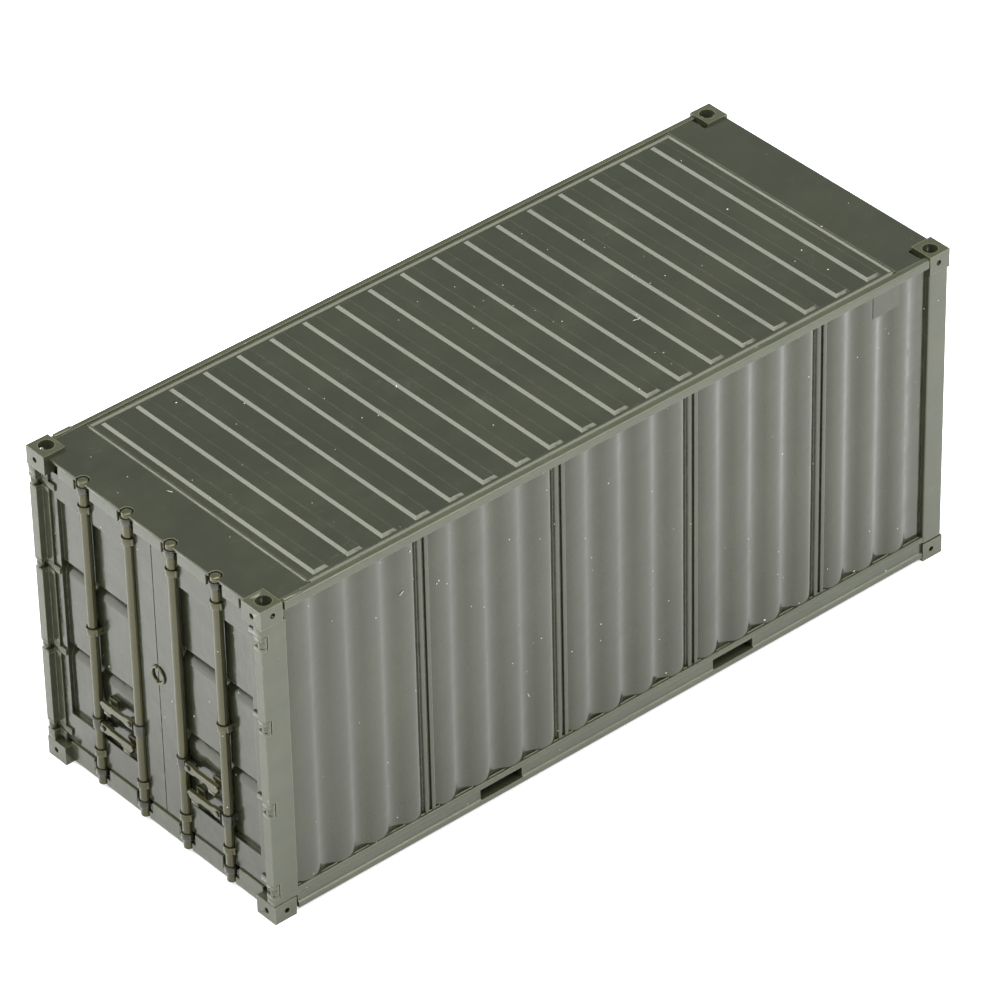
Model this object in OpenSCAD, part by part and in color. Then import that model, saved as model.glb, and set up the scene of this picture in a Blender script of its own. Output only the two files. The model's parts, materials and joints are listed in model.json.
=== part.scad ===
// Scale freight container, 20 ft pattern, with working doors.
// Millimetres. Origin at the centre of the underside, +X to the doors, +Z up.
// "right" is the +Y side, "left" is the -Y side, as seen when facing the doors.

/* [Overall] */
// Length over the corner castings
length = 69.63; // [66:0.01:76]
// Width over the corner castings
width = 28.02; // [27.6:0.01:30]
// Height over the corner castings
height = 29.78; // [29.4:0.01:30.4]

/* [Corner castings] */
// Casting size along the container
casting_x = 2.1; // [1.9:0.05:2.3]
// Casting size across the container
casting_y = 2.2; // [2:0.05:2.3]
// Casting height
casting_h = 1.7; // [1.4:0.05:1.75]
// Diameter of the hole in the top and bottom faces
casting_hole_d = 1.3; // [1.2:0.05:1.4]
// Diameter of the small holes in the side and end faces
casting_eye_d = 0.5; // [0.4:0.05:0.6]

/* [Frame] */
// How far posts and rails sit inside the casting faces
frame_recess = 0.06; // [0.05:0.01:0.2]
// Door post size along the container
door_post_x = 2.27; // [2.2:0.01:2.4]
// Front post size along the container
front_post_x = 2.0; // [1.9:0.05:2.2]
// Clear half width between the door posts
door_clear_y = 12.35; // [12.3:0.01:12.4]
// Clear half width between the front posts
front_clear_y = 12.8; // [12.6:0.05:12.9]
// Depth of the step on the face of the door posts
post_step = 0.62; // [0.55:0.01:0.65]
// Width of the outer flange of the door posts
post_flange_y = 0.86; // [0.6:0.01:0.9]

/* [Side walls] */
// Pitch of the vertical corrugations
wall_pitch = 3.38; // [3.2:0.01:3.5]
// Depth of the corrugations
wall_depth = 0.28; // [0.2:0.02:0.5]
// Mouth width of one corrugation
wall_mouth = 2.3; // [2:0.05:2.4]
// Shift of the corrugations of the right wall
right_shift = -1.1; // [-1.2:0.05:-0.7]
// Shift of the corrugations of the left wall
left_shift = 2.0; // [1.8:0.05:2.2]

/* [Front wall] */
// Number of corrugations
front_count = 11; // [9:1:11]
// Pitch of the corrugations
front_pitch = 2.42; // [2.2:0.01:2.43]

/* [Roof] */
// Number of raised cross ribs
rib_count = 18; // [12:1:18]
// Pitch of the ribs
rib_pitch = 3.286; // [3:0.001:3.3]
// Width of one rib
rib_w = 1.5; // [1.1:0.05:1.7]
// Height of one rib
rib_h = 0.2; // [0.1:0.01:0.22]

/* [Doors] */
// Thickness of a door leaf
leaf_t = 1.5; // [1.3:0.05:1.6]
// Depth of the door panels below the door frame
pan_depth = 0.36; // [0.32:0.01:0.55]
// Extra depth of the two cross grooves
groove_depth = 0.36; // [0.2:0.02:0.5]
// Lock rod diameter
rod_d = 0.84; // [0.8:0.01:0.94]
// Distance of the inner lock rods from the middle
rod_inner_y = 2.63; // [2.55:0.01:2.75]
// Distance of the outer lock rods from the middle
rod_outer_y = 7.93; // [7.85:0.01:8]
// Running clearance around rods and pins
run_clear = 0.04; // [0.03:0.01:0.06]
// Height of the upper handles
handle_high_z = 8.8; // [8.7:0.05:9.2]
// Height of the lower handles
handle_low_z = 6.4; // [6:0.05:6.5]

/* [Hidden] */
$fn = 48;
eps = 0.01;
hx = length / 2;
hy = width / 2;
steel = [0.30, 0.31, 0.25];
dark = [0.22, 0.23, 0.18];
pale = [0.42, 0.42, 0.32];

// heights of the frame
roof_under = height - 0.58;
roof_plate_top = height - 0.28;
roof_sheet_top = height - 0.36;
rail_top_z = height - 0.23;
rail_foot_z = 28.78 - 29.78 + height;
top_casting_z = height - casting_h;
header_z = top_casting_z + 0.04;
leaf_top = header_z - 0.09;
leaf_bottom = 2.14;
sill_top = 2.07;
rail_low_top = 2.4;
rail_low_z = 0.35;

// plan positions of the frame
face_y = hy - frame_recess;
casting_in_x = hx - casting_x;
casting_in_y = hy - casting_y;
post_door_x = hx - 0.02;
post_door_in = hx - 0.1 - door_post_x;
post_step_x = hx - post_step;
flange_in_y = face_y - post_flange_y;
post_front_out = hx - 0.1;
post_front_in = post_front_out - front_post_x;
rail_in_y = hy - 1.31;

// lock rods and doors
rod_r = rod_d / 2;
rod_x = hx - 0.3 - rod_r;
bore_r = rod_r + run_clear;
leaf_x = hx - 0.8;
leaf_back = leaf_x - leaf_t;
pan_x = leaf_x - pan_depth;
leaf_out_y = door_clear_y - 0.1;
leaf_in_y = 0.05;
stile_y = leaf_out_y - 0.65;
strip_y = rod_inner_y + 0.1;
pan_bottom = 4.9;
pan_top = 25.7;
rod_low = 0.35;
rod_high = height - 0.33;
cam_pocket_y = 0.95;
cam_pocket_x = rod_x - 0.85;
cam_low_z = 1.25;
cam_high_z = header_z + 0.28;
cam_h = 0.6;
hub_r = rod_r + 0.13;
hub_h = 1.0;
sill_x = hx - 0.63;
header_x = hx - 0.5;

// hinges
pin_r = 0.17;
knuckle_r = 0.36;
pin_x = hx - 0.37;
pin_y = hy - 0.37;
hinge_h = 1.3;
barrel_h = 0.6;
lug_h = 0.32;
hinge_first = 3.0;
hinge_step = (leaf_top - 1.38 - hinge_first) / 3;
hinge_z = [for (i = [0 : 3]) hinge_first + i * hinge_step];
hinge_room_x = leaf_x - 0.03;

// underframe
floor_t = 0.6;
floor_z = 2.1;
fork_x = 12.1;
fork_w = 4.2;
fork_wall = 0.25;
member_x = [3.0, 6.2, 9.2, 15.2, 18.4, 21.6, 24.8, 28.0, 31.0];

// Sub-part to draw

// box from two opposite corners
module block(x0, x1, y0, y1, z0, z1) {
    translate([x0, y0, z0])
        cube([x1 - x0, y1 - y0, z1 - z0]);
}

// left and right versions of a +Y feature
module on_side(side) {
    mirror([0, side < 0 ? 1 : 0, 0])
        children();
}

// profile drawn in Y and Z, run along X
module run_x(x0, x1) {
    translate([x0, 0, 0])
        rotate([90, 0, 90])
            linear_extrude(height = x1 - x0)
                children();
}

// profile drawn in X and Z, run along Y
module run_y(y0, y1) {
    translate([0, y1, 0])
        rotate([90, 0, 0])
            linear_extrude(height = y1 - y0)
                children();
}

// ---------- corner castings ----------

// one casting in the +X +Y corner with its foot at z0; the round hole opens
// downward for a bottom casting and upward for a top one
module casting(z0, up) {
    hole_x = hx - 1.17;
    hole_y = hy - 1.03;
    hole_deep = 1.1;
    eye_z = z0 + casting_h / 2;
    eye_deep = 0.4;
    difference() {
        block(casting_in_x, hx, casting_in_y, hy, z0, z0 + casting_h);
        translate([hole_x, hole_y, up ? z0 + casting_h - hole_deep : z0 - eps])
            cylinder(d = casting_hole_d, h = hole_deep + eps);
        translate([hx - eye_deep, hole_y, eye_z])
            rotate([0, 90, 0])
                cylinder(d = casting_eye_d, h = eye_deep + eps);
        translate([hole_x, hy + eps, eye_z])
            rotate([90, 0, 0])
                cylinder(d = casting_eye_d, h = eye_deep + eps);
    }
}

module four_corners() {
    for (mx = [0, 1])
        for (my = [0, 1])
            mirror([mx, 0, 0])
                mirror([0, my, 0])
                    children();
}

module castings_bottom() {
    color(pale)
        four_corners()
            casting(0, false);
}

module castings_top() {
    color(pale)
        four_corners()
            casting(top_casting_z, true);
}

// ---------- posts ----------

module post_front(side) {
    color(steel)
        on_side(side)
            block(-post_front_out, -post_front_in, front_clear_y, face_y,
                casting_h, top_casting_z);
}

// door post with a stepped face, cut away behind each hinge
module post_door(side) {
    color(steel)
        on_side(side)
            difference() {
                union() {
                    block(post_door_in, post_step_x, door_clear_y, face_y,
                        casting_h, top_casting_z);
                    block(post_step_x - eps, post_door_x, flange_in_y, face_y,
                        casting_h, top_casting_z);
                }
                for (z = hinge_z)
                    hinge_room(z - hinge_h / 2, z + hinge_h / 2);
            }
}

// space for one hinge in a door post between the heights z0 and z1
module hinge_room(z0, z1) {
    block(hinge_room_x, hx, door_clear_y - eps, pin_y, z0, z1);
    block(pin_x, hx, pin_y - eps, hy, z0, z1);
    translate([pin_x, pin_y, z0])
        cylinder(r = knuckle_r + run_clear, h = z1 - z0);
}

// ---------- end beams ----------

module header_front() {
    color(steel)
        block(-post_front_out, -hx + 1.9, -casting_in_y, casting_in_y,
            header_z, roof_under);
}

module sill_front() {
    color(steel)
        block(-post_front_out, -hx + 1.9, -casting_in_y, casting_in_y, 0.45, 1.9);
}

module header_door() {
    beam_in = hx - 2.2;
    hollow_y = 0.95;
    color(steel)
        difference() {
            block(beam_in, header_x, -casting_in_y, casting_in_y, header_z, roof_under);
            for (y = [-rod_outer_y, -rod_inner_y, rod_inner_y, rod_outer_y])
                block(cam_pocket_x, hx, y - cam_pocket_y, y + cam_pocket_y,
                    header_z - eps, roof_under + eps);
            for (s = [-1, 1])
                on_side(s)
                    block(cam_pocket_x, hx, casting_in_y - hollow_y, hy,
                        header_z - eps, roof_under + eps);
        }
}

module sill_door() {
    color(steel)
        difference() {
            block(post_door_in, sill_x, -casting_in_y, casting_in_y, 0.3, sill_top);
            for (y = [-rod_outer_y, -rod_inner_y, rod_inner_y, rod_outer_y]) {
                block(cam_pocket_x, hx, y - cam_pocket_y, y + cam_pocket_y,
                    1.0, sill_top + eps);
                translate([rod_x, y, 0])
                    cylinder(r = rod_r + 0.08, h = sill_top);
                block(rod_x, hx, y - rod_r - 0.08, y + rod_r + 0.08, 0, sill_top);
            }
        }
}

// small L-shaped stop beside one cam; way is +1 when it stands on the +Y side
module keeper(y, z, way) {
    translate([0, y, z])
        mirror([0, way < 0 ? 1 : 0, 0])
            linear_extrude(height = cam_h)
                polygon([
                    [cam_pocket_x, 0.38],
                    [cam_pocket_x + 0.17, 0.38],
                    [cam_pocket_x + 0.17, 0.75],
                    [rod_x + 0.1, 0.75],
                    [rod_x + 0.1, cam_pocket_y],
                    [cam_pocket_x, cam_pocket_y]
                ]);
}

module keeper_row(z) {
    keeper(-rod_outer_y, z, -1);
    keeper(-rod_inner_y, z, 1);
    keeper(rod_inner_y, z, -1);
    keeper(rod_outer_y, z, 1);
}

module keepers_top() {
    color(dark)
        keeper_row(cam_high_z);
}

module keepers_bottom() {
    color(dark)
        keeper_row(cam_low_z);
}

// ---------- rails ----------

// top rail with a shelf for the roof, from post to post
module rail_top(side) {
    shelf_y = hy - 0.61;
    color(steel)
        on_side(side)
            run_x(-post_front_in, post_door_in)
                polygon([
                    [rail_in_y, rail_foot_z],
                    [face_y - 0.05, rail_foot_z],
                    [face_y, rail_foot_z + 0.05],
                    [face_y, rail_top_z - 0.08],
                    [face_y - 0.08, rail_top_z],
                    [shelf_y, rail_top_z],
                    [shelf_y, roof_under],
                    [rail_in_y, roof_under]
                ]);
}

// bottom rail, an outward channel with two fork openings
module rail_bottom(side) {
    web_y = face_y - 0.16;
    lip = 0.5;
    color(steel)
        on_side(side)
            difference() {
                run_x(-post_front_in, post_door_in)
                    polygon([
                        [rail_in_y, rail_low_z],
                        [face_y, rail_low_z],
                        [face_y, rail_low_z + lip],
                        [web_y, rail_low_z + lip + 0.08],
                        [web_y, rail_low_top - lip - 0.08],
                        [face_y, rail_low_top - lip],
                        [face_y, rail_low_top - 0.06],
                        [face_y - 0.06, rail_low_top],
                        [rail_in_y, rail_low_top]
                    ]);
                for (x = [-fork_x, fork_x])
                    block(x - fork_w / 2, x + fork_w / 2, rail_in_y - eps, hy,
                        rail_low_z + lip, rail_low_top - lip);
            }
}

// small raised blocks on the top rails beside the door-end castings
module rail_steps() {
    color(pale)
        for (s = [-1, 1])
            on_side(s)
                block(casting_in_x - 2.0, post_door_in - 0.05, hy - 0.55, face_y - 0.07,
                    rail_top_z, rail_top_z + 0.13);
}

// ---------- walls ----------

wall_flank = 0.8;
seam_foot = 0.6;
seam_edge = 0.5;
seam_slot = 0.15;
seam_wall = 0.04;
seam_low = 0.03;
wall_first = -10;
wall_last = 10;

// one valley as outline points around x; a seam is a pair of beads in the valley
function valley(x, y, seam) =
    seam
    ? [
        [x - wall_mouth / 2, y],
        [x - seam_foot, y - wall_depth],
        [x - seam_edge, y - seam_low],
        [x - seam_slot, y - seam_low],
        [x - seam_slot + seam_wall, y - wall_depth],
        [x + seam_slot - seam_wall, y - wall_depth],
        [x + seam_slot, y - seam_low],
        [x + seam_edge, y - seam_low],
        [x + seam_foot, y - wall_depth],
        [x + wall_mouth / 2, y]
    ]
    : [
        [x - wall_mouth / 2, y],
        [x - wall_mouth / 2 + wall_flank, y - wall_depth],
        [x + wall_mouth / 2 - wall_flank, y - wall_depth],
        [x + wall_mouth / 2, y]
    ];

// a seam stands in every fourth valley
function is_seam(k) = (k + 102) % 4 == 0;

// whether a whole valley around x fits between the posts
function fits(x, x0, x1) =
    x - wall_mouth / 2 > x0 + 0.25 && x + wall_mouth / 2 < x1 - 0.25;

function wall_line(shift, y, x0, x1) = [
    for (k = [wall_first : wall_last])
        let (x = shift + k * wall_pitch)
        if (fits(x, x0, x1))
        each valley(x, y, is_seam(k))
];

function reversed(list) = [for (i = [len(list) - 1 : -1 : 0]) list[i]];

function lowered(list, dy) = [for (p = list) [p[0], p[1] - dy]];

// wall sheet between the posts, corrugated on both faces
module side_wall(side, shift) {
    sheet = 0.38;
    ridge_y = face_y - 0.12;
    x0 = -post_front_in;
    x1 = post_door_in;
    whole = [
        for (k = [wall_first : wall_last])
            if (fits(shift + k * wall_pitch, x0, x1))
                shift + k * wall_pitch
    ];
    cut_0 = max(0.2, whole[0] - wall_pitch + wall_mouth / 2 - x0);
    cut_1 = max(0.2, x1 - whole[len(whole) - 1] - wall_pitch + wall_mouth / 2);
    low_0 = ridge_y - wall_depth * min(1, cut_0 / wall_flank);
    low_1 = ridge_y - wall_depth * min(1, cut_1 / wall_flank);
    outer = concat(
        [[x0, low_0], [x0 + cut_0 - min(cut_0 - 0.05, wall_flank), low_0],
            [x0 + cut_0, ridge_y]],
        wall_line(shift, ridge_y, x0, x1),
        [[x1 - cut_1, ridge_y],
            [x1 - cut_1 + min(cut_1 - 0.05, wall_flank), low_1], [x1, low_1]]
    );
    color(steel)
        on_side(side)
            translate([0, 0, rail_low_top])
                linear_extrude(height = rail_foot_z - rail_low_top)
                    polygon(concat(outer, reversed(lowered(outer, sheet))));
}

// flat ventilator cover that fills the top of the last valley by a front post
// and laps a little over the ridges beside it
module vent(side, shift, k) {
    vent_h = 2.1;
    lap = 0.25;
    proud = 0.03;
    x = shift + k * wall_pitch;
    y = face_y - 0.12;
    color(steel)
        on_side(side)
            translate([0, 0, rail_foot_z - vent_h])
                linear_extrude(height = vent_h)
                    polygon(concat(
                        [[x - wall_mouth / 2 - lap, y]],
                        valley(x, y, false),
                        [[x + wall_mouth / 2 + lap, y],
                            [x + wall_mouth / 2 + lap, y + proud],
                            [x - wall_mouth / 2 - lap, y + proud]]
                    ));
}

module side_vents() {
    vent(1, right_shift, -8);
    vent(-1, left_shift, -9);
}

module front_wall() {
    sheet = 0.4;
    ridge = hx - 0.25;
    deep = 0.55;
    half = 0.62;
    flank = 0.24;
    outer = [
        for (i = [0 : front_count - 1])
            let (y = (i - (front_count - 1) / 2) * front_pitch)
            each [
                [y - half, ridge],
                [y - half + flank, ridge - deep],
                [y + half - flank, ridge - deep],
                [y + half, ridge]
            ]
    ];
    color(steel)
        translate([0, 0, 1.9])
            linear_extrude(height = top_casting_z - 1.9)
                rotate(90)
                    polygon(concat(
                        [[-front_clear_y, ridge]],
                        outer,
                        [[front_clear_y, ridge], [front_clear_y, ridge - sheet]],
                        reversed(lowered(outer, sheet)),
                        [[-front_clear_y, ridge - sheet]]
                    ));
}

// ---------- roof ----------

roof_y = hy - 0.62;
roof_x = 29.7 - 34.815 + hx;

bead_w = 0.36;
bead_h = 0.15;
bead_y = roof_y - 0.35;

// section of the bead around the ribs, standing on the roof sheet
module bead_section() {
    polygon([
        [-bead_w / 2, roof_sheet_top - 0.05],
        [-bead_w / 2, roof_sheet_top],
        [-bead_w / 6, roof_sheet_top + bead_h],
        [bead_w / 6, roof_sheet_top + bead_h],
        [bead_w / 2, roof_sheet_top],
        [bead_w / 2, roof_sheet_top - 0.05]
    ]);
}

// ribbed sheet with a low bead around the ribs
module roof_panel() {
    rib_y = roof_y - 0.75;
    slope = 0.22;
    color(steel)
        union() {
            block(-roof_x, roof_x, -roof_y, roof_y, roof_under, roof_sheet_top);
            for (s = [-1, 1]) {
                translate([s * (roof_x - bead_w / 2), 0, 0])
                    run_y(-bead_y - bead_w / 2, bead_y + bead_w / 2)
                        bead_section();
                translate([0, s * bead_y, 0])
                    run_x(-roof_x, roof_x)
                        bead_section();
            }
            difference() {
                for (i = [0 : rib_count - 1])
                    translate([(i - (rib_count - 1) / 2) * rib_pitch, 0, roof_sheet_top])
                        run_y(-rib_y, rib_y)
                            polygon([
                                [-rib_w / 2, -0.05],
                                [-rib_w / 2, 0],
                                [-rib_w / 2 + slope, rib_h],
                                [rib_w / 2 - slope, rib_h],
                                [rib_w / 2, 0],
                                [rib_w / 2, -0.05]
                            ]);
                for (s = [-1, 1])
                    on_side(s)
                        run_x(-roof_x, roof_x)
                            polygon([
                                [rib_y, roof_sheet_top],
                                [rib_y - slope, roof_sheet_top + rib_h + eps],
                                [rib_y + 1, roof_sheet_top + 1],
                                [rib_y + 1, roof_sheet_top]
                            ]);
            }
        }
}

module roof_plate_front() {
    slot = 0.35;
    color(steel)
        difference() {
            block(-hx + 0.07, -roof_x, -roof_y, roof_y, roof_under, roof_plate_top);
            for (s = [-1, 1])
                on_side(s)
                    block(-hx, -casting_in_x + slot, casting_in_y, hy,
                        roof_under - eps, height);
        }
}

module roof_plate_door() {
    color(steel)
        difference() {
            block(roof_x, hx - 0.45, -roof_y, roof_y, roof_under, roof_plate_top);
            for (s = [-1, 1])
                on_side(s)
                    block(casting_in_x, hx, casting_in_y, hy, roof_under - eps, height);
            for (y = [-rod_outer_y, -rod_inner_y, rod_inner_y, rod_outer_y]) {
                translate([rod_x, y, roof_under - eps])
                    cylinder(r = rod_r + 0.1, h = 1);
                block(rod_x, hx, y - rod_r - 0.1, y + rod_r + 0.1,
                    roof_under - eps, height);
            }
        }
}

// ---------- underframe ----------

module floor_board() {
    color(dark)
        block(-hx + 1.9, post_door_in, -rail_in_y, rail_in_y, floor_z, floor_z + floor_t);
}

// Z-section cross members under the floor
module cross_members() {
    low = 0.6;
    color(steel)
        for (s = [-1, 1])
            for (x = member_x)
                translate([s * x, 0, 0])
                    run_y(-rail_in_y, rail_in_y)
                        polygon([
                            [-0.5, low],
                            [0.12, low],
                            [0.12, floor_z - 0.22],
                            [0.5, floor_z - 0.22],
                            [0.5, floor_z],
                            [-0.12, floor_z],
                            [-0.12, low + 0.22],
                            [-0.5, low + 0.22]
                        ]);
}

module fork_pockets() {
    low = rail_low_z + 0.5;
    high = floor_z - fork_wall + 0.1;
    color(steel)
        for (x = [-fork_x, fork_x])
            difference() {
                block(x - fork_w / 2 - fork_wall, x + fork_w / 2 + fork_wall,
                    -rail_in_y, rail_in_y, low - fork_wall, floor_z);
                block(x - fork_w / 2, x + fork_w / 2, -hy, hy, low, high);
            }
}

// ---------- hinges ----------

module hinge_lugs(side) {
    color(pale)
        on_side(side)
            for (z = hinge_z)
                for (z0 = [z - hinge_h / 2, z + hinge_h / 2 - lug_h])
                    difference() {
                        union() {
                            translate([pin_x, pin_y, z0])
                                cylinder(r = knuckle_r, h = lug_h);
                            block(hinge_room_x, post_door_x, flange_in_y, pin_y,
                                z0, z0 + lug_h);
                            block(pin_x, post_door_x, pin_y - eps, face_y,
                                z0, z0 + lug_h);
                            block(hinge_room_x, post_step_x, door_clear_y,
                                flange_in_y + eps, z0, z0 + lug_h);
                        }
                        translate([pin_x, pin_y, z0 - eps])
                            cylinder(r = pin_r, h = lug_h + 2 * eps);
                    }
}

module hinge_pins(side) {
    color(dark)
        on_side(side)
            for (z = hinge_z)
                translate([pin_x, pin_y, z - hinge_h / 2])
                    cylinder(r = pin_r, h = hinge_h);
}

module hinge_blades(side) {
    blade_t = 0.16;
    color(pale)
        on_side(side)
            for (z = hinge_z)
                difference() {
                    union() {
                        translate([pin_x, pin_y, z - barrel_h / 2])
                            cylinder(r = knuckle_r, h = barrel_h);
                        block(leaf_x, leaf_x + blade_t, stile_y + 0.05, pin_y,
                            z - barrel_h / 2, z + barrel_h / 2);
                    }
                    translate([pin_x, pin_y, z - barrel_h])
                        cylinder(r = pin_r + run_clear, h = 2 * barrel_h);
                }
}

// ---------- doors ----------

// sunk panel field between y0 and y1, with two cross grooves that are deepest
// at their upper edge
module pan(y0, y1) {
    groove_top = [19.7, 11.7];
    lip = 0.05;
    back_h = 0.44;
    knee_h = 0.93;
    groove_h = 1.45;
    block(pan_x, hx, y0, y1, pan_bottom, pan_top);
    for (z = groove_top)
        run_y(y0, y1)
            polygon([
                [pan_x + eps, z],
                [pan_x - groove_depth, z - lip],
                [pan_x - groove_depth, z - back_h],
                [pan_x - groove_depth / 4, z - knee_h],
                [pan_x + eps, z - groove_h]
            ]);
}

// door leaf for the +Y side
module leaf(side) {
    back_chamfer = 0.5;
    color(steel)
        on_side(side)
            difference() {
                translate([0, 0, leaf_bottom])
                    linear_extrude(height = leaf_top - leaf_bottom)
                        polygon([
                            [leaf_x, leaf_in_y],
                            [leaf_x, leaf_out_y],
                            [leaf_back, leaf_out_y],
                            [leaf_back, leaf_in_y + back_chamfer],
                            [leaf_back + back_chamfer, leaf_in_y]
                        ]);
                pan(strip_y, rod_outer_y - 0.1);
                pan(rod_outer_y - 0.2, stile_y);
                for (y = [rod_inner_y, rod_outer_y])
                    translate([rod_x, y, 0])
                        cylinder(r = rod_r + 0.06, h = height);
                hub_room(rod_inner_y, handle_high_z);
                hub_room(rod_outer_y, handle_low_z);
            }
}

// hollow in a leaf around a handle hub
module hub_room(y, z) {
    translate([rod_x, y, z - hub_h / 2 - 0.06])
        cylinder(r = hub_r + 0.06, h = hub_h + 0.12);
}

// saddle over a lock rod, standing on the surface at x0
module bracket(y, z, x0) {
    half = 0.64;
    tall = 0.62;
    wall = 0.11;
    translate([0, y, z - tall / 2])
        difference() {
            union() {
                block(x0, rod_x + 0.12, -half, half, 0, tall);
                translate([rod_x, 0, 0])
                    cylinder(r = bore_r + wall, h = tall);
            }
            translate([rod_x, 0, -eps])
                cylinder(r = bore_r, h = tall + 2 * eps);
            block(x0 - 1, x0, -half - eps, half + eps, -eps, tall + eps);
            block(x0 - eps, rod_x, -bore_r, bore_r, -eps, tall + eps);
        }
}

module rod_brackets(side) {
    high_z = 26.9;
    mid_z = 15.3;
    low_z = 3.5;
    color(pale)
        on_side(side)
            for (y = [rod_inner_y, rod_outer_y]) {
                bracket(y, high_z, leaf_x);
                bracket(y, low_z, leaf_x);
                if (y == rod_outer_y)
                    bracket(y, mid_z, pan_x);
            }
}

handle_h = 0.85;
handle_t = 0.34;
handle_x = rod_x + 0.04;
handle_end = 4.6;
pivot_y = 0.95;
rest_y = 3.25;
rest_w = 1.0;

// back plate and ledge under the end of one handle, from y on
module handle_rest(y, z) {
    gap = 0.03;
    thick = 0.35;
    plate_t = 0.22;
    ledge_z = z - handle_h / 2 - gap;
    block(pan_x, pan_x + plate_t, y, y + rest_w, ledge_z - thick, z + handle_h / 2);
    block(pan_x, handle_x + handle_t, y + 0.1, y + rest_w - 0.1,
        ledge_z - thick, ledge_z);
}

module handle_rests(side) {
    color(pale)
        on_side(side) {
            handle_rest(rod_inner_y + rest_y, handle_high_z);
            handle_rest(rod_outer_y - rest_y - rest_w, handle_low_z);
        }
}

// half of the seal ring on the middle strip
module seal_hasp(side) {
    ring_r = 0.85;
    ring_w = 0.26;
    proud = 0.16;
    z = 15.5;
    color(pale)
        on_side(side)
            intersection() {
                translate([leaf_x, 0, z])
                    rotate([0, 90, 0])
                        difference() {
                            cylinder(r = ring_r, h = proud);
                            translate([0, 0, -eps])
                                cylinder(r = ring_r - ring_w, h = proud + 2 * eps);
                        }
                block(leaf_x - eps, hx, leaf_in_y, 2 * ring_r, z - 2 * ring_r,
                    z + 2 * ring_r);
            }
}

// ---------- lock rods ----------

module lock_rod(y) {
    color(pale)
        translate([rod_x, y, rod_low])
            cylinder(d = rod_d, h = rod_high - rod_low);
}

// collar and lobe at each end of a rod, lobe pointing into the frame
module cams(y) {
    collar_r = rod_r + 0.14;
    lobe_r = 0.78;
    lobe_w = 0.5;
    color(dark)
        for (z = [cam_low_z, cam_high_z])
            translate([rod_x, y, z])
                difference() {
                    union() {
                        cylinder(r = collar_r, h = cam_h);
                        block(-lobe_r, 0, -lobe_w / 2, lobe_w / 2, 0, cam_h);
                    }
                    translate([0, 0, -eps])
                        cylinder(r = rod_r, h = cam_h + 2 * eps);
                }
}

// collar on a rod with the ear and pivot pin of its handle; way is the side
// the handle points to
module handle_hub(y, z, way) {
    ear_x0 = -0.28;
    ear_x1 = 0.02;
    ear_y = 1.3;
    pivot_r = 0.13;
    head_r = 0.24;
    head_t = 0.1;
    pin_end = handle_x - rod_x + handle_t + 0.02;
    color(dark)
        translate([rod_x, y, z])
            mirror([0, way < 0 ? 1 : 0, 0])
                difference() {
                    union() {
                        translate([0, 0, -hub_h / 2])
                            cylinder(r = hub_r, h = hub_h);
                        block(ear_x0, ear_x1, 0, ear_y, -0.3, 0.3);
                        translate([ear_x0, pivot_y, 0])
                            rotate([0, 90, 0])
                                cylinder(r = pivot_r, h = pin_end - ear_x0 + eps);
                        translate([pin_end, pivot_y, 0])
                            rotate([0, 90, 0])
                                cylinder(r = head_r, h = head_t);
                    }
                    translate([0, 0, -1])
                        cylinder(r = rod_r, h = 2);
                }
}

// flat handle bar with a pivot bore and a thicker grip end
module handle(y, z, way) {
    pivot_bore = 0.18;
    grip_y = 3.1;
    grip_h = 0.5;
    head_h = 0.75;
    back = handle_x - rod_x;
    color(pale)
        translate([rod_x, y, z])
            mirror([0, way < 0 ? 1 : 0, 0])
                difference() {
                    translate([back, 0, 0])
                        rotate([90, 0, 90])
                            linear_extrude(height = handle_t)
                                polygon([
                                    [pivot_y - 0.3, -head_h / 2],
                                    [pivot_y + 0.5, -head_h / 2],
                                    [pivot_y + 0.9, -grip_h / 2],
                                    [grip_y, -grip_h / 2],
                                    [grip_y + 0.2, -handle_h / 2],
                                    [handle_end - 0.3, -handle_h / 2],
                                    [handle_end, 0],
                                    [handle_end - 0.2, grip_h / 2],
                                    [pivot_y + 0.9, grip_h / 2],
                                    [pivot_y + 0.5, head_h / 2],
                                    [pivot_y - 0.3, head_h / 2]
                                ]);
                    translate([back - eps, pivot_y, 0])
                        rotate([0, 90, 0])
                            cylinder(r = pivot_bore, h = handle_t + 2 * eps);
                }
}

castings_bottom();
castings_top();
post_front(-1);  // post_front_left
post_front(1);  // post_front_right
post_door(-1);  // post_door_left
post_door(1);  // post_door_right
header_front();
sill_front();
header_door();
sill_door();
rail_top(-1);  // rail_top_left
rail_top(1);  // rail_top_right
rail_bottom(-1);  // rail_bottom_left
rail_bottom(1);  // rail_bottom_right
side_wall(-1, left_shift);  // side_wall_left
side_wall(1, right_shift);  // side_wall_right
front_wall();
roof_panel();
roof_plate_front();
roof_plate_door();
floor_board();  // floor
cross_members();
fork_pockets();
keepers_top();
keepers_bottom();
hinge_lugs(-1);  // hinge_lugs_left
hinge_lugs(1);  // hinge_lugs_right
hinge_pins(-1);  // hinge_pins_left
hinge_pins(1);  // hinge_pins_right
side_vents();
rail_steps();
leaf(-1);  // door_left
hinge_blades(-1);  // hinge_blades_left
rod_brackets(-1);  // rod_brackets_left
handle_rests(-1);  // handle_rests_left
seal_hasp(-1);  // seal_hasp_left
leaf(1);  // door_right
hinge_blades(1);  // hinge_blades_right
rod_brackets(1);  // rod_brackets_right
handle_rests(1);  // handle_rests_right
seal_hasp(1);  // seal_hasp_right
lock_rod(-rod_outer_y);  // lock_rod_1
cams(-rod_outer_y);  // cams_1
handle_hub(-rod_outer_y, handle_low_z, 1);  // handle_hub_1
handle(-rod_outer_y, handle_low_z, 1);  // handle_1
lock_rod(-rod_inner_y);  // lock_rod_2
cams(-rod_inner_y);  // cams_2
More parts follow.
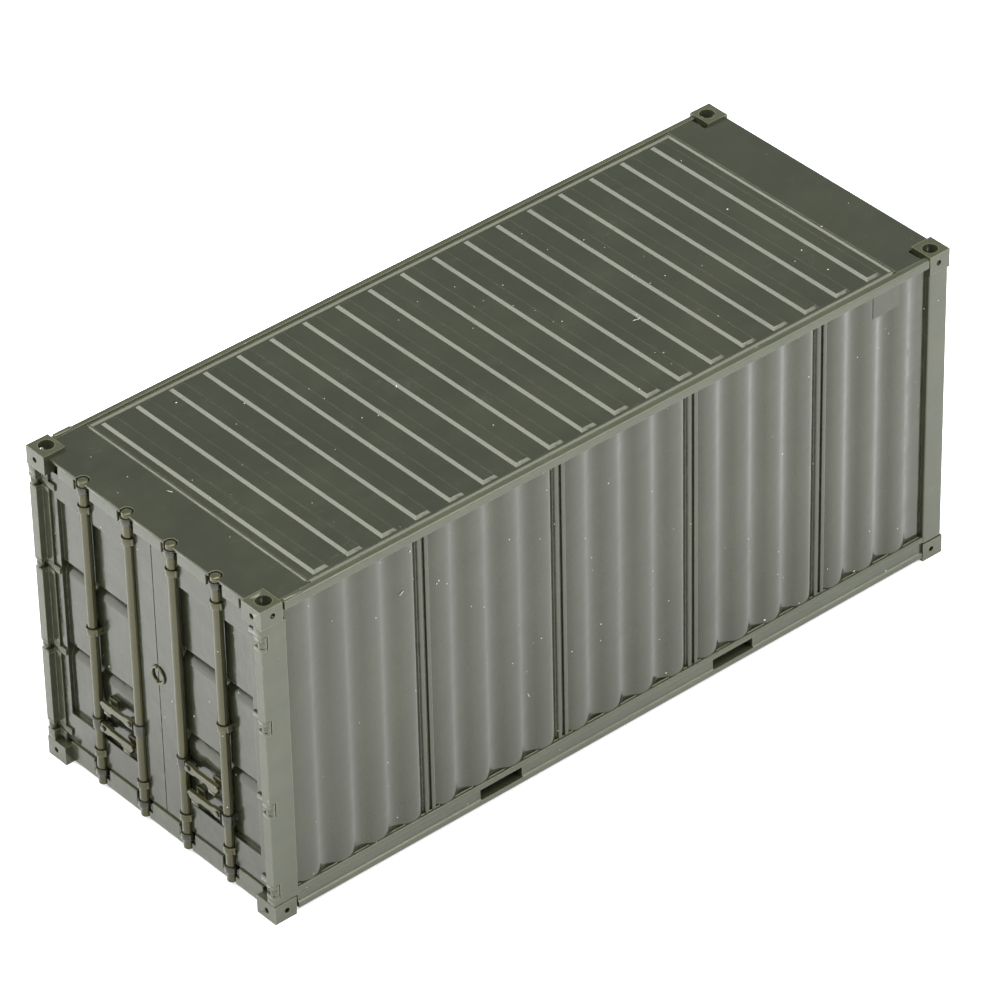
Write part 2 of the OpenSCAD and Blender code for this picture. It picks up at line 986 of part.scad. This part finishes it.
handle_hub(-rod_inner_y, handle_high_z, -1);  // handle_hub_2
handle(-rod_inner_y, handle_high_z, -1);  // handle_2
lock_rod(rod_inner_y);  // lock_rod_3
cams(rod_inner_y);  // cams_3
handle_hub(rod_inner_y, handle_high_z, 1);  // handle_hub_3
handle(rod_inner_y, handle_high_z, 1);  // handle_3
lock_rod(rod_outer_y);  // lock_rod_4
cams(rod_outer_y);  // cams_4
handle_hub(rod_outer_y, handle_low_z, -1);  // handle_hub_4
handle(rod_outer_y, handle_low_z, -1);  // handle_4
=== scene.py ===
"""Model freight container in glossy moulded olive plastic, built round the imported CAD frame."""

import json
import math
import random

import bmesh
import bpy
from mathutils import Matrix, Quaternion, Vector
from mathutils.bvhtree import BVHTree


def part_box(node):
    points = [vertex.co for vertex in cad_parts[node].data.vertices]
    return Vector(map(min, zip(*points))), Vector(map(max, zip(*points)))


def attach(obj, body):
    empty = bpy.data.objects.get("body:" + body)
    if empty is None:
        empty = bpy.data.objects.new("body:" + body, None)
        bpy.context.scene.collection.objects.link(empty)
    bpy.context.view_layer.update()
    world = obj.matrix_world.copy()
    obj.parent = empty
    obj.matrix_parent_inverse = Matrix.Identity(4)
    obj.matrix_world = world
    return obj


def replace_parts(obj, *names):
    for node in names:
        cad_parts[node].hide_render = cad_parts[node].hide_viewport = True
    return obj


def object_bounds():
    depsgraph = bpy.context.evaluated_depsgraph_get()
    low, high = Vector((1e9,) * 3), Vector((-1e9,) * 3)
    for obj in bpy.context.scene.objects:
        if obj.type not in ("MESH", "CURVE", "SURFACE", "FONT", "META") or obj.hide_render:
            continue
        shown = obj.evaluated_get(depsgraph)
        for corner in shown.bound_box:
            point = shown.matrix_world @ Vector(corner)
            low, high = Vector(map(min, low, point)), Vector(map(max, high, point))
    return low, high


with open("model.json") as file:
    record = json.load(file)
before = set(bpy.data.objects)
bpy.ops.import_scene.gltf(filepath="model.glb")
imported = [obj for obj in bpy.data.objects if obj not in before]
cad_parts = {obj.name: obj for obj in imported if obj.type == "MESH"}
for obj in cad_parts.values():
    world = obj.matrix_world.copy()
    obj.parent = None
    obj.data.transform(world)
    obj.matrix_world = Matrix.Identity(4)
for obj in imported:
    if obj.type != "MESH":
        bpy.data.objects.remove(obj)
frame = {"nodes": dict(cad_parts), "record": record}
cad_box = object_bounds()

MM = 0.001

# ---------- colours of the plastic, linear ----------

OLIVE = (0.0165, 0.0185, 0.0105)
OLIVE_PALE = (0.027, 0.026, 0.0115)
OLIVE_DARK = (0.012, 0.013, 0.0075)
# OLIVE_EDGE is the pale rim colour on edges: partly edge wear, partly a painted highlight
OLIVE_EDGE = (0.09, 0.09, 0.045)
DUST = (0.62, 0.62, 0.57)
SHEEN = (0.99, 1.0, 0.87)
SHEEN_WARM = (0.92, 0.90, 0.64)


class Tree:
    """Short calls for building one material's nodes."""

    def __init__(self, name):
        self.material = bpy.data.materials.new(name)
        self.material.use_nodes = True
        self.tree = self.material.node_tree
        self.tree.nodes.clear()

    def feed(self, socket, value):
        if isinstance(value, bpy.types.NodeSocket):
            self.tree.links.new(value, socket)
        elif hasattr(socket.default_value, "__len__") and len(value) < len(socket.default_value):
            socket.default_value = (*value, 1.0)
        else:
            socket.default_value = value

    def node(self, kind, inputs=(), **settings):
        made = self.tree.nodes.new(kind)
        for key, value in settings.items():
            setattr(made, key, value)
        for key, value in dict(inputs).items():
            self.feed(made.inputs[key], value)
        return made

    def maths(self, operation, *values, clamp=False):
        made = self.node("ShaderNodeMath", operation=operation, use_clamp=clamp)
        for socket, value in zip(made.inputs, values):
            self.feed(socket, value)
        return made.outputs[0]

    def vector(self, operation, *values):
        made = self.node("ShaderNodeVectorMath", operation=operation)
        for socket, value in zip(made.inputs, values):
            self.feed(socket, value)
        return made.outputs["Value" if operation == "DOT_PRODUCT" else "Vector"]

    def ramp(self, value, low, high, out_low=0.0, out_high=1.0):
        made = self.node(
            "ShaderNodeMapRange",
            {"Value": value, "From Min": low, "From Max": high,
             "To Min": out_low, "To Max": out_high},
            interpolation_type="SMOOTHSTEP",
        )
        return made.outputs["Result"]

    def mix(self, factor, first, second):
        made = self.node("ShaderNodeMix", data_type="RGBA")
        for index, value in ((0, factor), (6, first), (7, second)):
            self.feed(made.inputs[index], value)
        return made.outputs[2]

    def noise(self, where, scale, detail=3.0, roughness=0.5, distortion=0.0):
        made = self.node(
            "ShaderNodeTexNoise",
            {"Vector": where, "Scale": scale, "Detail": detail, "Roughness": roughness,
             "Distortion": distortion},
        )
        return made.outputs["Fac"]

    def millimetres(self, stretch=(1.0, 1.0, 1.0), shift=0.0):
        """Object coordinates in millimetres."""
        where = self.node("ShaderNodeTexCoord").outputs["Object"]
        scale = tuple(s / MM for s in stretch)
        return self.vector("ADD", self.vector("MULTIPLY", where, scale), (shift, shift, shift))


# reach of the pale rim along the edges (partly edge wear, partly a painted highlight), and the size
# and share of the dust specks
RIM_REACH = 0.16 * MM
SPECK_SMALL, SPECK_LARGE, SPECK_SHARE = 0.02, 0.06, 0.12
PLASTIC_IOR = 1.52


def moulded_plastic(name, base, edge, gloss=0.14, edge_wear_and_highlight=1.0, seed=0.0, sheen=SHEEN):
    """Glossy injection-moulded plastic: cloudy colour, paler edges (partly wear, partly a painted
    highlight), flow marks, dust, hairlines.
    """
    t = Tree(name)
    where = t.millimetres(shift=seed)

    cloud = t.ramp(t.noise(where, 0.16, 4.0, 0.55), 0.35, 0.68)
    streak = t.noise(t.millimetres((0.05, 0.05, 0.6), seed), 1.0, 3.0)
    colour = t.mix(cloud, base, tuple(c * 1.22 for c in base))
    colour = t.mix(t.ramp(streak, 0.45, 0.75, 0.0, 0.35), colour, tuple(c * 0.72 for c in base))

    # pale rim on sharp edges, found from the bevel normal: partly edge wear, partly a painted
    # highlight
    geometry = t.node("ShaderNodeNewGeometry")
    rounded = t.node("ShaderNodeBevel", {"Radius": RIM_REACH}, samples=6)
    turn = t.vector("DOT_PRODUCT", rounded.outputs[0], geometry.outputs["Normal"])
    ragged = t.noise(where, 1.1, 4.0, 0.65)
    rim = t.ramp(t.maths("SUBTRACT", 1.0, turn), 0.004, 0.12)
    rim = t.maths("MULTIPLY", rim, t.ramp(ragged, 0.25, 0.62, 0.35, 1.0), clamp=True)
    colour = t.mix(t.maths("MULTIPLY", rim, 0.8 * edge_wear_and_highlight, clamp=True), colour, edge)

    cells = t.node("ShaderNodeTexVoronoi", {"Vector": where, "Scale": 1.3, "Randomness": 1.0})
    lucky = t.node("ShaderNodeSeparateColor", {"Color": cells.outputs["Color"]})
    radius = t.ramp(lucky.outputs["Green"], 0.0, 1.0, SPECK_SMALL, SPECK_LARGE)
    speck = t.maths("LESS_THAN", cells.outputs["Distance"], radius)
    speck = t.maths("MULTIPLY", speck, t.maths("LESS_THAN", lucky.outputs["Red"], SPECK_SHARE))
    haze = t.ramp(t.noise(where, 2.4, 6.0, 0.75), 0.62, 0.86, 0.0, 0.10)
    colour = t.mix(haze, colour, DUST)
    colour = t.mix(speck, colour, DUST)

    hair = t.noise(t.millimetres((0.25, 2.2, 0.25), seed + 7.0), 1.6, 2.0, 0.4, 0.6)
    off_line = t.maths("ABSOLUTE", t.maths("SUBTRACT", hair, 0.5))
    hairline = t.maths("SUBTRACT", 1.0, t.ramp(off_line, 0.0, 0.006))
    hairline = t.maths("MULTIPLY", hairline, t.ramp(t.noise(where, 0.35, 2.0), 0.55, 0.7))

    smudge = t.ramp(t.noise(where, 0.5, 5.0, 0.6), 0.3, 0.75, -0.05, 0.09)
    rough = t.maths("ADD", gloss, smudge)
    rough = t.maths("ADD", rough, t.maths("MULTIPLY", rim, 0.12))
    rough = t.maths("ADD", rough, t.maths("MULTIPLY", speck, 0.5), clamp=True)

    swell = t.noise(where, 0.55, 2.0)
    peel = t.noise(where, 4.5, 3.0)
    height = t.maths("ADD", t.maths("MULTIPLY", swell, 0.045), t.maths("MULTIPLY", peel, 0.004))
    height = t.maths("ADD", height, t.maths("MULTIPLY", speck, 0.03))
    height = t.maths("SUBTRACT", height, t.maths("MULTIPLY", hairline, 0.004))
    bump = t.node("ShaderNodeBump", {"Height": height, "Strength": 0.8, "Distance": MM})

    surface = t.node(
        "ShaderNodeBsdfPrincipled",
        {"Base Color": colour, "Roughness": rough, "Normal": bump.outputs[0],
         "IOR": PLASTIC_IOR, "Specular Tint": sheen, "Subsurface Weight": 0.04,
         "Subsurface Scale": 0.4 * MM, "Subsurface Radius": (1.0, 1.0, 0.5)},
    )
    output = t.node("ShaderNodeOutputMaterial")
    t.tree.links.new(surface.outputs[0], output.inputs["Surface"])
    return t.material


SHELL = moulded_plastic("shell_plastic", OLIVE, OLIVE_EDGE)
FITTINGS = moulded_plastic(
    "fittings_plastic", OLIVE_PALE, OLIVE_EDGE, gloss=0.17, edge_wear_and_highlight=1.0, seed=31.0, sheen=SHEEN_WARM
)
# lighter copy of the shell olive for rails, posts and castings: painted light for the brightness
# these parts catch, with a stronger pale rim
FRAME_PAINTED_LIGHTER = moulded_plastic(
    "frame_plastic", tuple(c * 1.9 for c in OLIVE), OLIVE_EDGE, gloss=0.16, edge_wear_and_highlight=1.3, seed=13.0
)
VENT = moulded_plastic("vent_plastic", OLIVE, OLIVE, edge_wear_and_highlight=0.3, seed=91.0)
SMALL = moulded_plastic("small_plastic", OLIVE_DARK, OLIVE, gloss=0.22, edge_wear_and_highlight=0.8, seed=57.0)

slots = {"shell": SHELL, "fittings": FITTINGS, "small_parts": SMALL}
slot_of = {part["node"]: part["material_slot"] for part in frame["record"]["subparts"]}


def soften(obj, width, segments=2):
    """Rounds the moulded edges of a CAD node, as a modifier, so that they catch the light."""
    weld = obj.modifiers.new("weld", "WELD")
    weld.merge_threshold = 0.0005 * MM
    flat = obj.modifiers.new("flat_faces", "DECIMATE")
    flat.decimate_type = "DISSOLVE"
    flat.angle_limit = math.radians(0.8)
    bevel = obj.modifiers.new("soft_edges", "BEVEL")
    bevel.width = width
    bevel.segments = segments
    bevel.limit_method = "ANGLE"
    bevel.angle_limit = math.radians(22)
    bevel.use_clamp_overlap = True
    normals = obj.modifiers.new("normals", "WEIGHTED_NORMAL")
    normals.weight = 80


# edge rounding in millimetres
ROUNDING = {
    "castings_top": 0.11, "castings_bottom": 0.11,
    "rail_top_left": 0.12, "rail_top_right": 0.12,
    "rail_bottom_left": 0.09, "rail_bottom_right": 0.09,
    "post_door_left": 0.1, "post_door_right": 0.1,
    "post_front_left": 0.12, "post_front_right": 0.12,
    "roof_plate_front": 0.05, "roof_plate_door": 0.05,
}
USUAL_ROUNDING = 0.06
# nodes that get the lighter frame copy of the olive, a painted brightening
FRAME_NODES = (
    "post_", "rail_", "header_", "sill_", "castings_", "hinge_lugs_", "hinge_blades_",
)

for node_name, obj in frame["nodes"].items():
    finish = FRAME_PAINTED_LIGHTER if node_name.startswith(FRAME_NODES) else slots[slot_of[node_name]]
    if node_name == "side_vents":
        finish = VENT
    obj.data.materials.clear()
    obj.data.materials.append(finish)
    soften(obj, ROUNDING.get(node_name, USUAL_ROUNDING) * MM)

# ---------- corrugated walls, with the soft section of a moulding ----------

rng = random.Random(7)


def add_piece(name, shape, material, body):
    """Turns a bmesh in row-frame metres into a smooth piece riding on a body."""
    mesh = bpy.data.meshes.new(name)
    shape.to_mesh(mesh)
    shape.free()
    mesh.materials.append(material)
    for face in mesh.polygons:
        face.use_smooth = True
    obj = bpy.data.objects.new(name, mesh)
    bpy.context.scene.collection.objects.link(obj)
    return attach(obj, body)


def section(node):
    """Corner points, in order, of the foot of an upright prism-shaped CAD node."""
    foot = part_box(node)[0].z
    shape = bmesh.new()
    shape.from_mesh(frame["nodes"][node].data)
    bmesh.ops.remove_doubles(shape, verts=shape.verts, dist=0.001 * MM)
    shape.normal_update()
    rim = [
        edge for edge in shape.edges
        if all(v.co.z < foot + 0.01 * MM for v in edge.verts)
        and any(abs(face.normal.z) < 0.5 for face in edge.link_faces)
    ]
    start = rim[0].verts[0]
    loop, here, came = [], start, None
    while True:
        loop.append(Vector(here.co[:2]))
        came = next(e for e in here.link_edges if e in rim and e is not came)
        here = came.other_vert(here)
        if here is start:
            break
    shape.free()
    return loop


# corners beside an edge shorter than this keep most of their sharpness
CRISP = 0.45 * MM
CRISP_SHARE = 0.2
# a wall edge that turns more than this is shaded as a sharp one
SHARP_TURN = math.radians(40)
WALL_SOFTNESS = (0.6 * MM, 0.48)
FRONT_SOFTNESS = (0.3 * MM, 0.42)


def rounded_section(loop, most, share, samples=6):
    """Rounds every corner of a closed outline except square and straight ones."""
    soft = []
    count = len(loop)
    for i, corner in enumerate(loop):
        before, after = loop[i - 1] - corner, loop[(i + 1) % count] - corner
        turn = before.angle(after)
        square = abs(turn - math.pi / 2) < math.radians(4)
        if square or turn > math.radians(178):
            soft.append(corner)
            continue
        part = share if min(before.length, after.length) > CRISP else CRISP_SHARE
        back = before.normalized() * min(most, part * before.length)
        ahead = after.normalized() * min(most, part * after.length)
        for k in range(samples):
            t = k / (samples - 1)
            soft.append(corner + back * (1 - t) ** 2 + ahead * t * t)
    return soft


def soft_sheet(name, node, most, share, material):
    """Wall sheet with rounded corrugations, standing for one CAD wall."""
    low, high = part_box(node)
    loop = rounded_section(section(node), most, share)
    levels = 12
    shape = bmesh.new()
    rows = []
    for j in range(levels + 1):
        z = low.z + (high.z - low.z) * j / levels
        rows.append([shape.verts.new((*point, z)) for point in loop])
    count = len(loop)
    for lower, upper in zip(rows, rows[1:]):
        for i in range(count):
            k = (i + 1) % count
            shape.faces.new((lower[i], lower[k], upper[k], upper[i]))
    foot_cap = shape.faces.new(rows[0][::-1])
    head_cap = shape.faces.new(rows[-1])
    for face in (foot_cap, head_cap):
        for edge in face.edges:
            edge.smooth = False
    for i, corner in enumerate(loop):
        turn = (corner - loop[i - 1]).angle(loop[(i + 1) % count] - corner)
        if turn > SHARP_TURN:
            for lower, upper in zip(rows, rows[1:]):
                shape.edges.get((lower[i], upper[i])).smooth = False
    bmesh.ops.recalc_face_normals(shape, faces=shape.faces)
    sheet = add_piece(name, shape, material, "container")
    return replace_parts(sheet, node)


soft_sheet("wall_sheet_left", "side_wall_left", *WALL_SOFTNESS, SHELL)
soft_sheet("wall_sheet_right", "side_wall_right", *WALL_SOFTNESS, SHELL)
soft_sheet("front_sheet", "front_wall", *FRONT_SOFTNESS, SHELL)

# ---------- dust, lint and moulding flash ----------


def loose_material(name, colour, roughness):
    """Matt, slightly uneven material for dust grains and flash."""
    t = Tree(name)
    where = t.millimetres()
    shade = t.mix(t.noise(where, 6.0, 3.0), tuple(c * 0.7 for c in colour), colour)
    bump = t.node(
        "ShaderNodeBump",
        {"Height": t.noise(where, 14.0), "Strength": 0.4, "Distance": 0.02 * MM},
    )
    surface = t.node(
        "ShaderNodeBsdfPrincipled",
        {"Base Color": shade, "Roughness": roughness, "Normal": bump.outputs[0]},
    )
    output = t.node("ShaderNodeOutputMaterial")
    t.tree.links.new(surface.outputs[0], output.inputs["Surface"])
    return t.material


DUST_MATERIAL = loose_material("dust", DUST, 0.85)
FLASH_MATERIAL = loose_material("flash", (0.16, 0.16, 0.10), 0.4)


def surface_tree(body):
    """Ray-casting tree over every CAD node of one body."""
    points, faces = [], []
    for name in frame["record"]["behaviour"]["bodies"][body]:
        mesh = frame["nodes"][name].data
        start = len(points)
        points += [v.co.copy() for v in mesh.vertices]
        faces += [[start + i for i in face.vertices] for face in mesh.polygons]
    return BVHTree.FromPolygons(points, faces)


def grain(shape, where, normal, size):
    """One dust grain: a small flattened lump with an uneven outline."""
    turn = normal.to_track_quat("Z", "X").to_matrix().to_4x4()
    spin = Matrix.Rotation(rng.uniform(0, math.tau), 4, "Z")
    squeeze = Matrix.Diagonal((size, size * rng.uniform(0.5, 1.0), size * 0.45, 1.0))
    made = bmesh.ops.create_icosphere(
        shape, subdivisions=2, radius=0.5, matrix=Matrix.Translation(where) @ turn @ spin @ squeeze
    )
    for vertex in made["verts"]:
        vertex.co += (vertex.co - where) * rng.uniform(-0.35, 0.3)


def fibre(shape, where, normal, length):
    """One lint fibre: a thin bent tube lying on the surface."""
    sideways = normal.orthogonal().normalized()
    sideways.rotate(Quaternion(normal, rng.uniform(0, math.tau)))
    across = normal.cross(sideways)
    bend = rng.uniform(-0.5, 0.5) * length
    radius = 0.022 * MM
    steps, sides = 10, 5
    rings = []
    for i in range(steps + 1):
        along = i / steps - 0.5
        centre = where + sideways * along * length + across * bend * (along * along - 0.1)
        centre += normal * (radius + 0.05 * MM * math.sin(along * math.pi * 2) ** 2)
        ring = []
        for k in range(sides):
            angle = math.tau * k / sides
            spoke = across * math.cos(angle) + normal * math.sin(angle)
            ring.append(shape.verts.new(centre + spoke * radius))
        rings.append(ring)
    for first, second in zip(rings, rings[1:]):
        for k in range(sides):
            shape.faces.new((first[k], first[(k + 1) % sides], second[(k + 1) % sides], second[k]))
    shape.faces.new(rings[0][::-1])
    shape.faces.new(rings[-1])


def settle_dust(body, views, name):
    """Drops grains and fibres on a body's outer faces; views lists (direction, grains, fibres)."""
    tree = surface_tree(body)
    boxes = [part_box(node) for node in frame["record"]["behaviour"]["bodies"][body]]
    box_low = Vector(min(b[0][i] for b in boxes) for i in range(3))
    box_high = Vector(max(b[1][i] for b in boxes) for i in range(3))
    shape = bmesh.new()
    for direction, grains, fibres in views:
        outward = Vector(direction)
        for index in range(grains + fibres):
            spot = Vector(rng.uniform(a, b) for a, b in zip(box_low, box_high))
            start = spot + outward * 0.2
            hit, normal, _, _ = tree.ray_cast(start, -outward)
            if hit is None or normal.dot(outward) < 0.6:
                continue
            if any(not a + 0.3 * MM < h < b - 0.3 * MM
                   for a, h, b, o in zip(box_low, hit, box_high, outward) if abs(o) < 0.5):
                continue
            if index < grains:
                size = rng.uniform(0.05, 0.14) * MM * rng.choice((0.7, 1.0, 1.0, 1.4))
                grain(shape, hit, normal, size)
            else:
                fibre(shape, hit, normal, rng.uniform(0.4, 0.9) * MM)
    return add_piece(name, shape, DUST_MATERIAL, body)


settle_dust(
    "container",
    [((0, 0, 1), 44, 3), ((0, 1, 0), 36, 2), ((0, -1, 0), 36, 2), ((-1, 0, 0), 16, 1)],
    "dust_container",
)
settle_dust("left_door", [((1, 0, 0), 12, 0)], "dust_left_door")
settle_dust("right_door", [((1, 0, 0), 12, 1)], "dust_right_door")


def flash_fin(name, start, end, outward, reach):
    """Ragged parting-line fin along an edge from start to end, sticking out by up to reach."""
    shape = bmesh.new()
    length = (end - start).length
    steps = int(length / (0.12 * MM))
    thickness = 0.05 * MM
    up = (end - start).normalized().cross(outward)
    previous = None
    level = 0.3
    for i in range(steps + 1):
        level = min(1.0, max(0.05, level + rng.uniform(-0.22, 0.21)))
        if rng.random() < 0.03:
            level = 1.0
        base = start.lerp(end, i / steps)
        tip = base + outward * reach * level
        corners = (base + up * thickness, tip, base - up * thickness)
        ring = [shape.verts.new(corner) for corner in corners]
        if previous:
            for k in range(3):
                shape.faces.new((previous[k], previous[(k + 1) % 3], ring[(k + 1) % 3], ring[k]))
        previous = ring
    return add_piece(name, shape, FLASH_MATERIAL, "container")


for side, way in (("left", -1), ("right", 1)):
    rail_low, rail_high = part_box(f"rail_bottom_{side}")
    face = rail_high.y if way > 0 else rail_low.y
    inset = 0.25 * MM
    line_y, line_z = face - way * 0.28 * MM, rail_high.z - 0.01 * MM
    flash_fin(
        f"flash_rail_{side}",
        Vector((rail_low.x + inset, line_y, line_z)),
        Vector((rail_high.x - inset, line_y, line_z)),
        Vector((0, way * 0.5, 1)).normalized(),
        0.16 * MM,
    )

# ---------- studio ----------


FLOOR_HALF = 3.0
WORLD_COLOUR = (0.94, 0.97, 1.0, 1.0)
WORLD_STRENGTH = 0.5


def stage_floor():
    """Pale paper sheet under the object."""
    mesh = bpy.data.meshes.new("floor_sheet")
    shape = bmesh.new()
    bmesh.ops.create_grid(shape, x_segments=1, y_segments=1, size=FLOOR_HALF)
    shape.to_mesh(mesh)
    shape.free()
    obj = bpy.data.objects.new("floor_sheet", mesh)
    bpy.context.scene.collection.objects.link(obj)
    paper = Tree("paper")
    surface = paper.node(
        "ShaderNodeBsdfPrincipled",
        {"Base Color": (0.86, 0.86, 0.86), "Roughness": 0.7, "Specular IOR Level": 0.2,
         "Emission Color": (1.0, 1.0, 1.0, 1.0), "Emission Strength": 0.53},
    )
    output = paper.node("ShaderNodeOutputMaterial")
    paper.tree.links.new(surface.outputs[0], output.inputs["Surface"])
    mesh.materials.append(paper.material)


def softbox(name, direction, distance, size, radiance):
    """Square area light looking at the object; radiance sets how bright its reflection is."""
    data = bpy.data.lights.new(name, "AREA")
    data.shape = "SQUARE"
    data.size = size
    data.energy = radiance * math.pi * size * size
    obj = bpy.data.objects.new(name, data)
    bpy.context.scene.collection.objects.link(obj)
    obj.location = Vector(direction).normalized() * distance
    obj.rotation_mode = "QUATERNION"
    obj.rotation_quaternion = (-Vector(direction)).to_track_quat("-Z", "Y")


stage_floor()
softbox("top_box", (0.0, 0.0, 1.0), 0.55, 0.65, 5.2)
softbox("left_box", (0.60, -0.62, 0.60), 0.6, 0.34, 6.5)
softbox("right_box", (-0.55, 0.60, 0.60), 0.6, 0.40, 5.0)

world = bpy.data.worlds.new("studio")
bpy.context.scene.world = world
world.use_nodes = True
background = world.node_tree.nodes["Background"]
background.inputs["Color"].default_value = WORLD_COLOUR
background.inputs["Strength"].default_value = WORLD_STRENGTH

EYE = Vector((0.2599, 0.3094, 0.3162))
ROLL = math.radians(-1.3)
FOCAL_LENGTH = 232
SENSOR_WIDTH = 36

low, high = cad_box
target = (Vector(low) + Vector(high)) / 2
camera_data = bpy.data.cameras.new("camera")
camera_data.lens = FOCAL_LENGTH
camera_data.sensor_width = SENSOR_WIDTH
camera_data.clip_start = 0.01
camera_data.clip_end = 20
camera = bpy.data.objects.new("camera", camera_data)
bpy.context.scene.collection.objects.link(camera)
camera.location = EYE
camera.rotation_mode = "QUATERNION"
aim = (target - EYE).to_track_quat("-Z", "Y")
camera.rotation_quaternion = aim @ Quaternion((0, 0, 1), ROLL)
bpy.context.scene.camera = camera
bpy.context.scene.view_settings.view_transform = "Standard"
